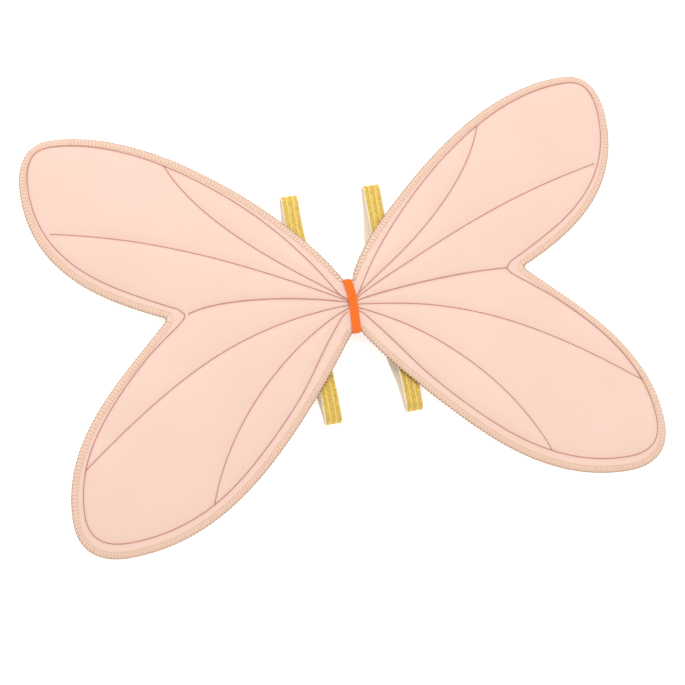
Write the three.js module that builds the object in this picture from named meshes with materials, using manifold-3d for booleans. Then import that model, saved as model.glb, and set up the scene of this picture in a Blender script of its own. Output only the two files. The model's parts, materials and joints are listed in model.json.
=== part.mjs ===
// Quilted fabric fairy wings with two elastic arm loops, lying front face up. Millimetres, +Z up.
// X is the span, +Y is towards the wearer's neck. The origin is below the waist, on the floor.
import * as THREE from 'three';
import { mergeVertices } from 'three/addons/utils/BufferGeometryUtils.js';
import Module from 'manifold-3d';

const wasm = await Module();
wasm.setup();

// The wing panel
const halfSpan = 256;         // waist to the widest point of the upper lobe
const halfHeight = 175;       // waist centre to the highest and lowest edge
const waistHalf = 23;         // half the panel's height at the middle
const notchX = 152;           // where the two lobes of a wing meet
const notchY = 11.5;
const waistRound = 5;         // how far back the corner at the waist is rounded
const notchRound = 4;

// Its layers
const fabric = 0.8;
const wadding = 3;
const clearance = 0.3;        // between pieces that touch
const seamGap = 0.3;          // between the two fabrics at the edge
const stitchInset = 8.5;      // from the edge to the sewn outline
const stitchLift = 2.5;       // the sewn outline sits a little towards the neck
const quiltRise = 4;          // width of the slope from the sewn outline to full thickness
const threadRadius = 0.45;
const overlockDepth = 5;      // how far the edge stitching reaches in
const overlockThread = 0.5;

// The centre band and the two fold lines beside it
const bandWidth = 7.5;
const bandHalfHeight = 23.5;
const bandWall = 1;
const bandShift = 1.3;        // the band is sewn a little to one side
const hingeX = 9.5;
const hingeSlot = 0.2;        // half the gap on a fold line
const frontFold = 48;         // degrees that each side of a fold leans back, front and back
const backFold = 12;

// The elastic arm loops
const strapX = 34;
const strapWidth = 15;
const strapThickness = 1.2;
const loopGap = 9;            // inside the flat loop
const loopTop = 101;          // its two ends along Y
const loopBottom = -96;
const tackY = 14;             // the two bar tacks that hold it to the back fabric
const tack = [11, 2, 0.5];

// Worked out from the sizes above
const halfThick = wadding / 2 + clearance + fabric;
const quiltStart = stitchInset + threadRadius + 0.25;
const quiltEnd = quiltStart + quiltRise;
const fabricInset = overlockThread + clearance;
const loopHeight = 2 * strapThickness + loopGap;
const loopReach = strapX + strapWidth / 2 - hingeX;
const tipReach = halfSpan - quiltEnd - hingeX;
const droop = Math.asin((loopHeight + clearance) / (tipReach - loopReach));
const hingeZ = tipReach * Math.sin(droop) + halfThick * Math.cos(droop);

const satin = new THREE.MeshStandardMaterial({ color: 0xfcdac9, roughness: 0.6 });
const fleece = new THREE.MeshStandardMaterial({ color: 0xf4f1ec, roughness: 1 });
const edgeThread = new THREE.MeshStandardMaterial({ color: 0xe8d3b0, roughness: 0.5 });
const roseThread = new THREE.MeshStandardMaterial({ color: 0xcf8f80, roughness: 0.4, metalness: 0.3 });
const orangeFelt = new THREE.MeshStandardMaterial({ color: 0xfa791c, roughness: 0.9 });
const goldElastic = new THREE.MeshStandardMaterial({ color: 0xdcb44a, roughness: 0.5, metalness: 0.4 });
const sewingThread = new THREE.MeshStandardMaterial({ color: 0xe9d9b4, roughness: 0.6 });

function cubic(a, b, c, d, steps) {
  const points = [a, b, c, d].map(([x, y]) => new THREE.Vector2(x, y));
  return new THREE.CubicBezierCurve(...points).getPoints(steps);
}

// A short arc that rounds the corner between two neighbouring points of an outline.
function roundedCorner(before, corner, after, back) {
  const from = before.clone().sub(corner).setLength(back).add(corner);
  const to = after.clone().sub(corner).setLength(back).add(corner);
  return new THREE.QuadraticBezierCurve(from, corner, to).getPoints(4);
}

// The right wing's edge, clockwise from the top of the waist to its bottom, without those two points.
function wingEdge() {
  const w = halfSpan;
  const h = halfHeight;
  const notch = [notchX, notchY];
  const upper = [
    ...cubic([0, waistHalf], [0.215 * w, 0.54 * h], [0.565 * w, h], [0.88 * w, h], 12).slice(1),
    ...cubic([0.88 * w, h], [0.957 * w, h], [w, 0.92 * h], [w, 0.76 * h], 8).slice(1),
    ...cubic([w, 0.76 * h], [w, 0.38 * h], [0.795 * w, 0.195 * h], notch, 11).slice(1, -1),
  ];
  const lower = [
    ...cubic(notch, [0.77 * w, -0.18 * h], [0.985 * w, -0.41 * h], [0.985 * w, -0.79 * h], 11).slice(1),
    ...cubic([0.985 * w, -0.79 * h], [0.985 * w, -0.955 * h], [0.905 * w, -h], [0.83 * w, -h], 8).slice(1),
    ...cubic([0.83 * w, -h], [0.467 * w, -h], [0.25 * w, -0.55 * h], [0, -waistHalf], 12).slice(1, -1),
  ];
  const corner = roundedCorner(upper.at(-1), new THREE.Vector2(...notch), lower[0], notchRound);
  return [...upper, ...corner, ...lower];
}

// The whole panel's edge, clockwise: both wings, with the waist's two corners rounded.
function panelEdge() {
  const right = wingEdge();
  const left = right.map((p) => new THREE.Vector2(-p.x, p.y)).reverse();
  const top = roundedCorner(left.at(-1), new THREE.Vector2(0, waistHalf), right[0], waistRound);
  const bottom = roundedCorner(right.at(-1), new THREE.Vector2(0, -waistHalf), left[0], waistRound);
  return [...top, ...right, ...bottom, ...left];
}

const edge = panelEdge();

// The panel's edge moved inwards by a distance, and towards the neck by a lift.
function insetEdge(inset, lift = 0) {
  return edge.map((p, i) => {
    const before = edge.at(i - 1);
    const after = edge[(i + 1) % edge.length];
    const along = p.clone().sub(before).normalize().add(after.clone().sub(p).normalize()).normalize();
    return new THREE.Vector2(p.x + along.y * inset, p.y - along.x * inset + lift);
  });
}

function toGeometry(positions, index) {
  const geometry = new THREE.BufferGeometry();
  geometry.setAttribute('position', new THREE.Float32BufferAttribute(positions, 3));
  geometry.setIndex(index);
  return geometry;
}

// A solid whose surface runs through a list of rings [inset, z, lift], from its lower face to its upper
// one. With closed set it is a frame instead: the last ring joins the first.
function ringSolid(rings, closed = false) {
  const positions = [];
  const index = [];
  const contours = rings.map(([inset, , lift]) => insetEdge(inset, lift));
  contours.forEach((points, r) => points.forEach((p) => positions.push(p.x, p.y, rings[r][1])));
  const n = edge.length;
  const bands = closed ? rings.length : rings.length - 1;
  for (let r = 0; r < bands; r += 1) {
    const next = (r + 1) % rings.length;
    for (let i = 0; i < n; i += 1) {
      const j = (i + 1) % n;
      index.push(r * n + i, next * n + i, next * n + j, r * n + i, next * n + j, r * n + j);
    }
  }
  if (!closed) {
    const top = (rings.length - 1) * n;
    THREE.ShapeUtils.triangulateShape(contours[0], []).forEach(([a, b, c]) => index.push(a, c, b));
    THREE.ShapeUtils.triangulateShape(contours.at(-1), []).forEach(([a, b, c]) => {
      index.push(top + a, top + b, top + c);
    });
  }
  return toGeometry(positions, index);
}

function toSolid(geometry) {
  const bare = geometry.clone();
  bare.deleteAttribute('normal');
  bare.deleteAttribute('uv');
  const merged = mergeVertices(bare, 1e-4);
  return new wasm.Manifold(new wasm.Mesh({
    numProp: 3,
    vertProperties: new Float32Array(merged.attributes.position.array),
    triVerts: new Uint32Array(merged.index.array),
  }));
}

function fromSolid(solid) {
  const mesh = solid.getMesh();
  return toGeometry(mesh.vertProperties, [...mesh.triVerts]);
}

// A bar along Y whose section is a list of [x, z] points.
function bar(section, fromY, toY) {
  const shape = new THREE.Shape(section.map(([x, z]) => new THREE.Vector2(x, z)));
  const geometry = new THREE.ExtrudeGeometry(shape, { depth: toY - fromY, bevelEnabled: false });
  return geometry.rotateX(Math.PI / 2).translate(0, toY, 0);
}

function box(x0, x1, y0, y1, z0, z1) {
  const geometry = new THREE.BoxGeometry(x1 - x0, y1 - y0, z1 - z0);
  return geometry.translate((x0 + x1) / 2, (y0 + y1) / 2, (z0 + z1) / 2);
}

// What a fold line leaves of the panel on its two sides. Each side leans back from the line, so the
// layers clear each other when the wing folds up to 90 degrees or drops back by 20.
function foldCutters() {
  const deep = halfThick + 2 * (clearance + threadRadius);
  const front = deep * Math.tan(THREE.MathUtils.degToRad(frontFold));
  const back = deep * Math.tan(THREE.MathUtils.degToRad(backFold));
  const inner = hingeX - hingeSlot;
  const outer = hingeX + hingeSlot;
  const far = 1.2 * halfSpan;
  const reach = 1.2 * halfHeight;
  const waist = [
    [inner, 0], [inner - front, deep], [front - inner, deep],
    [-inner, 0], [back - inner, -deep], [inner - back, -deep],
  ];
  const wing = [[outer, 0], [outer + back, -deep], [far, -deep], [far, deep], [outer + front, deep]];
  return { waist: toSolid(bar(waist, -reach, reach)), wing: toSolid(bar(wing, -reach, reach)) };
}

const cutters = foldCutters();
const wingPart = (geometry) => fromSolid(toSolid(geometry).intersect(cutters.wing)).translate(-hingeX, 0, 0);

// The part of a layer at the waist, cut away where the centre band passes round it.
function waistPart(geometry) {
  const half = bandWidth / 2 + clearance;
  const inside = bandHalfHeight - bandWall - clearance;
  const out = 2 * bandHalfHeight;
  let solid = toSolid(geometry).intersect(cutters.waist);
  for (const [y0, y1] of [[inside, out], [-out, -inside]]) {
    solid = solid.subtract(toSolid(box(bandShift - half, bandShift + half, y0, y1, -out, out)));
  }
  return fromSolid(solid);
}

// One fabric of the panel, flat at the edge and raised inside the sewn outline.
function fabricLayer() {
  const low = seamGap / 2;
  const high = low + fabric;
  return ringSolid([
    [quiltEnd, halfThick - fabric, stitchLift], [quiltStart, low, stitchLift], [fabricInset, low, 0],
    [fabricInset, high, 0], [quiltStart, high, stitchLift], [quiltEnd, halfThick, stitchLift],
  ]);
}

// The wadding between the fabrics, thinned towards the sewn outline.
function waddingLayer() {
  const thin = clearance;
  const slopeGap = 4 * clearance;
  return ringSolid([
    [quiltEnd + clearance, -wadding / 2, stitchLift], [quiltStart + slopeGap, -thin, stitchLift],
    [quiltStart + slopeGap, thin, stitchLift], [quiltEnd + clearance, wadding / 2, stitchLift],
  ]);
}

// The overlock stitching, a channel folded round the panel's edge.
function overlockLayer() {
  const inner = seamGap / 2 + fabric + clearance;
  const outer = inner + overlockThread;
  const t = overlockThread;
  return ringSolid([
    [0, -inner], [0, inner], [t, outer], [overlockDepth, outer], [overlockDepth, inner],
    [t, inner], [t, -inner], [overlockDepth, -inner], [overlockDepth, -outer], [t, -outer],
  ], true);
}

// A thread along a list of points at one height, as a six-sided tube.
function thread(points, z, steps) {
  const path = new THREE.CatmullRomCurve3(points.map((p) => new THREE.Vector3(p.x, p.y, z)));
  const sides = [0, 1, 2, 3, 4, 5].map((i) => (i * Math.PI) / 3);
  const section = sides.map((a) => new THREE.Vector2(Math.cos(a), Math.sin(a)).multiplyScalar(threadRadius));
  const settings = { extrudePath: path, steps, bevelEnabled: false };
  return new THREE.ExtrudeGeometry(new THREE.Shape(section), settings);
}

// The sewn outline of the right wing, just outside the raised quilt.
function outlineStitch() {
  const around = insetEdge(stitchInset, stitchLift);
  const start = around.findIndex((p, i) => p.x > 0 && around.at(i - 1).x <= 0);
  const turned = [...around.slice(start), ...around.slice(0, start)];
  const right = turned.filter((p) => p.x > 0);
  return thread(right, seamGap / 2 + fabric + clearance + threadRadius, 90);
}

// The five sewn veins fan out from the waist to the sewn outline. Their ends are shares of the panel.
function veins() {
  const w = halfSpan;
  const h = halfHeight;
  const z = halfThick + clearance + threadRadius;
  const routes = [
    [[6, 6], [0.225 * w, 0.24 * h], [0.453 * w, 0.51 * h], [0.535 * w, 0.785 * h]],
    [[6, 4], [0.235 * w, 0.18 * h], [0.515 * w, 0.405 * h], [0.925 * w, 0.535 * h]],
    [[6, 2], [0.195 * w, 0.08 * h], [0.39 * w, 0.085 * h], [notchX - 15, notchY + 2]],
    [[6, -1], [0.33 * w, -0.025 * h], [0.54 * w, -0.135 * h], [0.915 * w, -0.555 * h]],
    [[6, -4], [0.22 * w, -0.105 * h], [0.475 * w, -0.445 * h], [0.58 * w, -0.825 * h]],
  ];
  return routes.map(([a, b, c, d]) => thread(cubic(a, b, c, d, 8), z, 24));
}

// The same shape for the left wing.
function mirrorX(geometry) {
  const flipped = geometry.clone().scale(-1, 1, 1);
  const index = [...flipped.index.array];
  for (let i = 0; i < index.length; i += 3) {
    [index[i + 1], index[i + 2]] = [index[i + 2], index[i + 1]];
  }
  flipped.setIndex(index);
  return flipped;
}

function flipZ(geometry) {
  return mirrorX(geometry).rotateY(Math.PI);
}

// One arm loop's pieces at the height where they lie, centred on x = 0.
function strapPieces() {
  const half = strapWidth / 2;
  const outer = loopHeight / 2;
  const y0 = loopBottom + outer + clearance;
  const y1 = loopTop - outer - clearance;
  const fold = new THREE.Shape();
  fold.absarc(0, 0, outer, -Math.PI / 2, Math.PI / 2, false);
  fold.absarc(0, 0, outer - strapThickness, Math.PI / 2, -Math.PI / 2, true);
  const foldEnd = new THREE.ExtrudeGeometry(fold, { depth: strapWidth, curveSegments: 9, bevelEnabled: false });
  foldEnd.rotateX(Math.PI / 2).rotateZ(Math.PI / 2).translate(-half, 0, outer);
  const tackAt = (y) => {
    const top = loopHeight - strapThickness - clearance;
    return box(-tack[0] / 2, tack[0] / 2, y - tack[1] / 2, y + tack[1] / 2, top - tack[2], top);
  };
  return {
    sewn_run: [box(-half, half, y0, y1, loopHeight - strapThickness, loopHeight), goldElastic],
    arm_run: [box(-half, half, y0, y1, 0, strapThickness), goldElastic],
    neck_fold: [foldEnd.clone().translate(0, y1 + clearance, 0), goldElastic],
    hip_fold: [foldEnd.clone().rotateZ(Math.PI).translate(0, y0 - clearance, 0), goldElastic],
    neck_tack: [tackAt(tackY), sewingThread],
    hip_tack: [tackAt(-tackY), sewingThread],
  };
}

// The orange band, a flat sleeve round the waist.
function centreBand() {
  const inside = halfThick + clearance;
  const outside = inside + bandWall;
  const reach = bandHalfHeight - bandWall;
  const x0 = bandShift - bandWidth / 2;
  const x1 = bandShift + bandWidth / 2;
  const sleeve = toSolid(box(x0, x1, -bandHalfHeight, bandHalfHeight, -outside, outside));
  return fromSolid(sleeve.subtract(toSolid(box(x0 - 1, x1 + 1, -reach, reach, -inside, inside))));
}

function addPiece(group, name, geometry, material) {
  const mesh = new THREE.Mesh(geometry, material);
  mesh.name = name;
  group.add(mesh);
}

const frontFabric = fabricLayer();
const backFabric = flipZ(frontFabric);
const filling = waddingLayer();
const wings = new THREE.Group();

const waist = new THREE.Group();
waist.position.z = hingeZ;
addPiece(waist, 'centre_band', centreBand(), orangeFelt);
addPiece(waist, 'waist_front_fabric', waistPart(frontFabric), satin);
addPiece(waist, 'waist_wadding', waistPart(filling), fleece);
addPiece(waist, 'waist_back_fabric', waistPart(backFabric), satin);
wings.add(waist);

const wingPieces = {
  front_fabric: [wingPart(frontFabric), satin],
  wadding: [wingPart(filling), fleece],
  back_fabric: [wingPart(backFabric), satin],
  edge_overlock: [wingPart(overlockLayer()), edgeThread],
  outline_stitch: [wingPart(outlineStitch()), roseThread],
};
veins().forEach((vein, i) => {
  wingPieces[`vein_stitch_${i + 1}`] = [wingPart(vein), roseThread];
});

for (const [side, sign] of [['right', 1], ['left', -1]]) {
  const sided = (geometry) => (sign > 0 ? geometry : mirrorX(geometry));
  const wing = new THREE.Group();
  wing.position.set(sign * hingeX, 0, hingeZ);
  wing.rotation.y = sign * droop;
  for (const [piece, [geometry, material]] of Object.entries(wingPieces)) {
    addPiece(wing, `${side}_${piece}`, sided(geometry), material);
  }
  const strap = new THREE.Group();
  strap.position.x = sign * strapX;
  for (const [piece, [geometry, material]] of Object.entries(strapPieces())) {
    addPiece(strap, `${side}_strap_${piece}`, geometry, material);
  }
  wings.add(wing, strap);
}

export default wings;
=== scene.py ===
import json
import math
import bpy
import numpy as np
from mathutils import Matrix, Vector


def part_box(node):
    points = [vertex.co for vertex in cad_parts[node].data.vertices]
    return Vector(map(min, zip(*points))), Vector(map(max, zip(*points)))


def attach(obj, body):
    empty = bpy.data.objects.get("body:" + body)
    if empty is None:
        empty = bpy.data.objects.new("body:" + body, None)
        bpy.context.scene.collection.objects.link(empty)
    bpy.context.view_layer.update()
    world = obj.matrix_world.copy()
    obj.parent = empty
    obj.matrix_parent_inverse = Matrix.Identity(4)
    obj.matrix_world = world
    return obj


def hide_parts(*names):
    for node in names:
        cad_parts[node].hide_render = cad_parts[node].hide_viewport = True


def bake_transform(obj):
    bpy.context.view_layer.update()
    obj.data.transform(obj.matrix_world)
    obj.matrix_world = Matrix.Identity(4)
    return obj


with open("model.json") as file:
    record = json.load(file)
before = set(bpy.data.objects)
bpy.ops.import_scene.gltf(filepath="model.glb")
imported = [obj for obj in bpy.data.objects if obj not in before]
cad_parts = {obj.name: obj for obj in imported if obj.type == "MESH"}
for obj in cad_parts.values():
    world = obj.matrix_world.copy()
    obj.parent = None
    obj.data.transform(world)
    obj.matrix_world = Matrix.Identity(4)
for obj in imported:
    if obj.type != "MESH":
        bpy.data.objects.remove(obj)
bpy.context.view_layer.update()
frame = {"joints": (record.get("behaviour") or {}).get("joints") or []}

mm = 0.001

# the fold lines beside the waist, and how steeply each wing slopes down from them to the floor
joints = {j["name"]: j for j in frame["joints"]}
fold = Vector(joints["right_wing_fold"]["pos_m"])
edgeLow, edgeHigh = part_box("right_edge_overlock")
bandLow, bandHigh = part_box("centre_band")
bandMiddle = (bandLow + bandHigh) / 2
edgeHalf = 1.75 * mm    # half the sewn edge's thickness
droop = math.asin((fold.z - edgeHalf - edgeLow.z) / (edgeHigh.x - fold.x))
halfSpan = fold.x + (edgeHigh.x - fold.x) / math.cos(droop)
halfHeight = edgeHigh.y
sides = {"right": 1, "left": -1}


# small helpers: colours, nodes and meshes

def linear(hexValue):
    # sRGB hex to linear: each channel c becomes ((c + 0.055) / 1.055) ^ 2.4
    rgb = [int(hexValue[i:i + 2], 16) / 255 for i in (1, 3, 5)]
    return [((c + 0.055) / 1.055) ** 2.4 if c > 0.04045 else c / 12.92 for c in rgb] + [1]


def addNode(tree, kind, settings=(), **inputs):
    # adds one node; an input is a value, or an output socket to link from
    node = tree.nodes.new(kind)
    for key, value in dict(settings).items():
        setattr(node, key, value)
    for key, value in inputs.items():
        spot = int(key[1:]) if key[0] == "i" and key[1:].isdigit() else key.replace("_", " ")
        socket = node.inputs[spot]
        if isinstance(value, bpy.types.NodeSocket):
            tree.links.new(value, socket)
        else:
            socket.default_value = value
    return node


def newMaterial(name, **shaderValues):
    # a new material with plain values on its shader's own sockets, and its node tree
    material = bpy.data.materials.new(name)
    material.use_nodes = True
    shader = material.node_tree.nodes["Principled BSDF"]
    for key, value in shaderValues.items():
        shader.inputs[key.replace("_", " ")].default_value = value
    return material, material.node_tree


def finished(material, tone, strength, depth, height):
    # the material with its colour and a bump, whose depth is in metres, joined to its shader
    tree = material.node_tree
    shader = tree.nodes["Principled BSDF"]
    bump = addNode(tree, "ShaderNodeBump", Strength=strength, Distance=depth, Height=height)
    tree.links.new(tone, shader.inputs["Base Color"])
    tree.links.new(bump.outputs["Normal"], shader.inputs["Normal"])
    return material


def onPiece(tree):
    # metres in the object's own frame
    return addNode(tree, "ShaderNodeTexCoord").outputs["Object"]


def alongPiece(tree):
    # metres along and across a thread or tape
    return addNode(tree, "ShaderNodeUVMap", {"uv_map": "alongAcross"}).outputs["UV"]


def ramp(tree, factor, stops):
    # a colour ramp through (place, colour) stops
    node = addNode(tree, "ShaderNodeValToRGB", Fac=factor)
    elements = node.color_ramp.elements
    for i, (place, colour) in enumerate(stops):
        element = elements[i] if i < 2 else elements.new(place)
        element.position = place
        element.color = colour
    return node.outputs["Color"]


def makeMesh(name, points, quads, triangles=(), uv=None, look=()):
    # puts arrays of points, four-sided and three-sided faces into a smooth mesh object of some materials
    quads = np.asarray(quads, np.int32).reshape(-1, 4)
    triangles = np.asarray(triangles, np.int32).reshape(-1, 3)
    mesh = bpy.data.meshes.new(name)
    mesh.vertices.add(len(points))
    mesh.vertices.foreach_set("co", np.asarray(points, np.float32).ravel())
    corners = np.concatenate([quads.ravel(), triangles.ravel()])
    starts = np.concatenate([np.arange(len(quads)) * 4, len(quads) * 4 + np.arange(len(triangles)) * 3])
    mesh.loops.add(len(corners))
    mesh.loops.foreach_set("vertex_index", corners)
    mesh.polygons.add(len(starts))
    mesh.polygons.foreach_set("loop_start", starts)
    if uv is not None:
        layer = mesh.uv_layers.new(name="alongAcross")
        layer.data.foreach_set("uv", np.asarray(uv, np.float32)[corners].ravel())
    mesh.update(calc_edges=True)
    mesh.shade_smooth()
    for material in look:
        mesh.materials.append(material)
    piece = bpy.data.objects.new(name, mesh)
    bpy.context.scene.collection.objects.link(piece)
    return piece


def gridFaces(rows, columns, closeRows=False, closeColumns=False):
    # the quads of a grid of points stored row by row; if closed, the last row or column joins the first
    r = np.arange(rows if closeRows else rows - 1)[:, None]
    c = np.arange(columns if closeColumns else columns - 1)[None, :]
    nextR, nextC = (r + 1) % rows, (c + 1) % columns
    corners = [r * columns + c, r * columns + nextC, nextR * columns + nextC, nextR * columns + c]
    return np.stack([np.broadcast_to(k, (len(r), c.shape[1])) for k in corners], -1).reshape(-1, 4)


def copies(points, faces, uv):
    # the points of several copies of one shape, stored copy by copy, with the faces and uv for all
    firsts = np.arange(len(points)) * (points[0].size // 3)
    quads = (faces[None] + firsts[:, None, None]).reshape(-1, 4)
    return points.reshape(-1, 3), quads, np.tile(uv.reshape(-1, 2), (len(points), 1))


def unit(v):
    # vectors scaled to length 1
    return v / np.maximum(np.linalg.norm(v, axis=-1, keepdims=True), 1e-12)


def smooth(t):
    # 0 to 1 with flat ends: 3 t^2 - 2 t^3
    t = np.clip(t, 0, 1)
    return t * t * (3 - 2 * t)


def rounded(wave, power):
    # |wave| ^ power with the wave's sign: sine and cosine so treated draw a rounded rectangle
    return np.sign(wave) * np.abs(wave) ** power


def lengthsAlong(line):
    # how far each point of a line is from its start, along it
    return np.concatenate([[0], np.cumsum(np.linalg.norm(np.diff(line, axis=0), axis=1))])


def readAt(at, places, values):
    # rows of values, known at the given places, read at other places by straight interpolation
    return np.stack([np.interp(at, places, values[:, k]) for k in range(values.shape[1])], 1)


# the wing panel's plan: its edge, its sewn outline and its veins, in metres on a flat table

panel = {
    "waistHalf": 23 * mm,           # half the panel's height at the middle
    "notch": (152 * mm, 11.5 * mm),  # where the two lobes of a wing meet
    "waistRound": 5 * mm,           # how far back those two kinds of corner are rounded
    "notchRound": 4 * mm,
    "stitchInset": 8.5 * mm,        # edge to sewn outline
    "stitchLift": 2.9 * mm,         # the sewn outline sits a little towards the neck
    "stitchSpread": 1.007,          # and is stretched along x
    "stitchCorner": 7 * mm,         # the radius of its corner at the notch
    "cosHalfTurn": 0.62,            # cosine of half the angle that the edge turns there
    "cornerShift": np.array([-3.0, -4.0]) * mm,  # and how far that corner lies from the inset one
    "belowNotch": 2.6 * mm,         # how much deeper the outline lies just below the notch
    "rays": 480,                    # mesh lines across the sewn outline
    "rings": 82,                    # mesh lines round it, inside
    "marginRings": 9,               # and between it and the edge
    "crowding": 1.35,               # more than 1 crowds the rings towards the outline
    "nearWaist": 60,                # edge points at each end that count as near the waist
    "lay": {1: (0.7 * mm, -0.2 * mm), -1: (0, 0.3 * mm)},  # how unevenly the two wings lie
    "waistShift": -1.5 * mm,        # and how far the gathered waist has slid along x
}

band = {
    "top": 20.9 * mm,       # the band's two ends along y
    "bottom": -24.8 * mm,
    "wall": 1.1 * mm,
    "gatherFrom": 3.5 * mm,  # beside it the gathers start this far from the middle
    "bulge": 0.8 * mm,      # how far its middle bends to one side
    "squareness": 6,        # 2 would make its loop an ellipse, more makes it squarer
    "crown": 0.25 * mm,     # how far its outer face swells in the middle
    "endNarrowing": 0.14,   # how much narrower it is where it turns over
    "around": 120,          # mesh lines
    "across": 28,
}


def cubic(a, b, c, d, count):
    # a cubic Bezier curve: the four points weighted by the Bernstein polynomials
    t = np.linspace(0, 1, count)[:, None]
    a, b, c, d = (np.array(p, float) for p in (a, b, c, d))
    return (1 - t) ** 3 * a + 3 * (1 - t) ** 2 * t * b + 3 * (1 - t) * t * t * c + t ** 3 * d


def cornerArc(before, corner, after, back):
    # a parabola that leaves and meets the two sides of a corner at the same distance from it
    start = corner + unit(before - corner) * back
    end = corner + unit(after - corner) * back
    t = np.linspace(0, 1, 9)[:, None]
    return (1 - t) ** 2 * start + 2 * (1 - t) * t * corner + t * t * end


def evenly(line, count):
    # the same line with its points evenly spaced along it
    steps = lengthsAlong(line)
    return readAt(np.linspace(0, steps[-1], count), steps, line)


def wingEdge():
    # the right wing's edge from the top of the waist clockwise to its bottom, both on the line x = 0
    w, h, waist, notch = halfSpan, halfHeight, panel["waistHalf"], np.array(panel["notch"])
    upper = np.concatenate([
        cubic((0, waist), (0.215 * w, 0.54 * h), (0.565 * w, h), (0.88 * w, h), 90)[:-1],
        cubic((0.88 * w, h), (0.957 * w, h), (w, 0.92 * h), (w, 0.76 * h), 40)[:-1],
        cubic((w, 0.76 * h), (w, 0.38 * h), (0.795 * w, 0.195 * h), notch, 60)])
    lower = np.concatenate([
        cubic(notch, (0.77 * w, -0.18 * h), (0.985 * w, -0.41 * h), (0.985 * w, -0.79 * h), 60)[:-1],
        cubic((0.985 * w, -0.79 * h), (0.985 * w, -0.955 * h), (0.905 * w, -h), (0.83 * w, -h), 40)[:-1],
        cubic((0.83 * w, -h), (0.467 * w, -h), (0.25 * w, -0.55 * h), (0, -waist), 90)])
    top, bottom = np.array([0, waist]), np.array([0, -waist])
    far = lambda line, corner, back: line[np.linalg.norm(line - corner, axis=1) > back]
    upper = far(far(upper, top, panel["waistRound"]), notch, panel["notchRound"])
    lower = far(far(lower, bottom, panel["waistRound"]), notch, panel["notchRound"])
    flip = np.array([-1, 1])
    return np.concatenate([
        cornerArc(upper[0] * flip, top, upper[0], panel["waistRound"])[4:], upper,
        cornerArc(upper[-1], notch, lower[0], panel["notchRound"]), lower,
        cornerArc(lower[-1], bottom, lower[-1] * flip, panel["waistRound"])[:5]])


def spaced(line, count):
    # points along a line whose spacing is 1 - cos(4 pi t) / 2 of the mean, so finest at t = 0, 1/2 and 1
    dense = evenly(line, 4000)
    t = np.linspace(0, 1, count)
    at = (t - 0.5 * np.sin(4 * np.pi * t) / (4 * np.pi)) * (len(dense) - 1)
    return readAt(at, np.arange(len(dense)), dense)


edge = spaced(wingEdge(), panel["rays"])
edgeAlong = unit(np.gradient(edge, axis=0))
edgeAlong[[0, -1]] = [[1, 0], [-1, 0]]
inward = np.stack([edgeAlong[:, 1], -edgeAlong[:, 0]], 1)


def inset(distance):
    # the edge moved inwards along its own normals
    return edge + inward * distance


def sewnOutline(side):
    # the inset edge, a little towards the neck; near the waist it runs in to the middle, by 16 mm times
    # exp(-x / 32) above and 7 mm times exp(-(x / 42) ^ 4) below; the left one is a little wider low down
    toNotch = np.linalg.norm(edge - panel["notch"], axis=1)
    deeper = panel["belowNotch"] * np.exp(-toNotch / (32 * mm)) * (edge[:, 1] < panel["notch"][1])
    line = inset(panel["stitchInset"] + deeper[:, None]) * (panel["stitchSpread"], 1)
    # a plain inset would round the notch widely. Its arc, of radius R, becomes one of radius r that
    # touches the same two legs: each point moves by (R - r) * (b / cos(half turn) - n), where b is the
    # middle direction and n the point's own, and the move fades out along the legs over 38 mm
    middle = inward[np.argmin(toNotch)]
    fade = 1 - smooth((toNotch - 6 * mm) / (32 * mm))
    tighter = panel["notchRound"] + panel["stitchInset"] - panel["stitchCorner"]
    move = tighter * (middle / panel["cosHalfTurn"] - inward) + panel["cornerShift"]
    line += move * fade[:, None]
    line += (0, panel["stitchLift"])
    x = line[:, 0]
    above = -16 * mm * np.exp(-x / (32 * mm))
    below = 7 * mm * np.exp(-(x / (42 * mm)) ** 4)
    if side < 0:
        line[:, 0] -= 3 * mm * smooth(-line[:, 1] / (70 * mm)) * smooth((x - 0.08) / 0.08)
    line[:, 1] += np.where(line[:, 1] > 0, above, below)
    return line


def veinLines(side, outline):
    # five curves from under the band, by their control points. All but the second run to the nearest
    # point of the sewn outline. Both wings are sewn by hand, so some curves differ by a few millimetres
    w, h, notch = halfSpan, halfHeight, panel["notch"]
    vertex = (notch[0] - 15 * mm, notch[1] + 1.5 * mm)
    routes = [
        [(1 * mm, 5 * mm), (0.225 * w, 0.24 * h), (0.453 * w, 0.51 * h), (0.535 * w, 0.785 * h)],
        [(1 * mm, 3.4 * mm), (0.235 * w, 0.18 * h), (0.515 * w, 0.405 * h), (0.925 * w, 0.535 * h)],
        [(1 * mm, 1.8 * mm), (0.195 * w, 0.08 * h), (0.39 * w, 0.08 * h), vertex],
        [(1 * mm, -1 * mm), (0.33 * w, -0.025 * h), (0.545 * w, -0.15 * h), (0.925 * w, -0.575 * h)],
        [(1 * mm, -3.4 * mm), (0.205 * w, -0.12 * h), (0.475 * w, -0.445 * h), (0.58 * w, -0.825 * h)],
    ]
    if side > 0:
        routes[0][1:3] = [(0.23 * w, 0.236 * h), (0.46 * w, 0.506 * h)]
        routes[2][1] = (0.195 * w, 0.06 * h)
        routes[3][1] = (0.33 * w, -0.045 * h)
    else:
        routes[1][2:] = [(0.505 * w, 0.43 * h), (0.925 * w, 0.55 * h)]
        routes[2][2] = (0.42 * w, 0.125 * h)
        routes[4][2:] = [(0.452 * w, -0.435 * h), (0.555 * w, -0.81 * h)]
    for k in (0, 2, 3, 4):
        gaps = np.linalg.norm(outline - np.array(routes[k][3]), axis=1)
        routes[k][3] = tuple(outline[np.argmin(gaps)])
    if side < 0:  # the left third one stops short of the outline
        routes[2][3] = (routes[2][3][0] - 2.4 * mm, routes[2][3][1])
    return [evenly(cubic(*route, 60), 90) for route in routes]


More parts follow.
